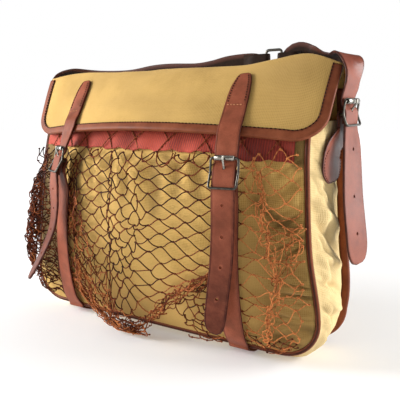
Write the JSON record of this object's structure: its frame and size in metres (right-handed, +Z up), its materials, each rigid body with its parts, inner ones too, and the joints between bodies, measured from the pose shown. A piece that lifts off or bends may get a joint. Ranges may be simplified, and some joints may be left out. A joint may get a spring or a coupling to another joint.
{
  "type": "hunting bag",
  "caption": "Canvas game bag with leather bindings, buckled flap straps, a cord net pouch on its front and a leather shoulder strap.",
  "frame": {"origin": "middle of the bag's width, on the underside that it stands on", "axes": "+X along the bag's width to the right as seen from the front, +Y from the front to the back, +Z up"},
  "size_m": [0.4448, 0.1694, 0.3287],
  "materials": {
    "canvas": "woven cotton canvas",
    "leather": "smooth red-brown leather",
    "ribbon": "ribbed woven ribbon",
    "cord": "twisted cotton cord",
    "metal": "worn nickel plate"
  },
  "bodies": {
    "root": {"back_binding": "leather", "back_panel": "canvas", "closing_buckle_left_frame": "metal", "closing_buckle_left_prong": "metal", "closing_buckle_left_roller": "metal", "closing_buckle_right_frame": "metal", "closing_buckle_right_prong": "metal", "closing_buckle_right_roller": "metal", "closing_strap_left": "leather", "closing_strap_right": "leather", "flap": "canvas", "flap_binding": "leather", "front_panel": "canvas", "front_piping": "leather", "gusset": "canvas", "lower_strap_left": "leather", "lower_strap_right": "leather", "net": "cord", "net_band": "ribbon", "shoulder_strap_left": "leather", "shoulder_strap_right": "leather", "side_buckle_left_frame": "metal", "side_buckle_left_prong": "metal", "side_buckle_left_roller": "metal", "side_buckle_right_frame": "metal", "side_buckle_right_prong": "metal", "side_buckle_right_roller": "metal", "side_tab_left": "leather", "side_tab_right": "leather", "strap_ring": "metal"}
  },
  "joints": []
}
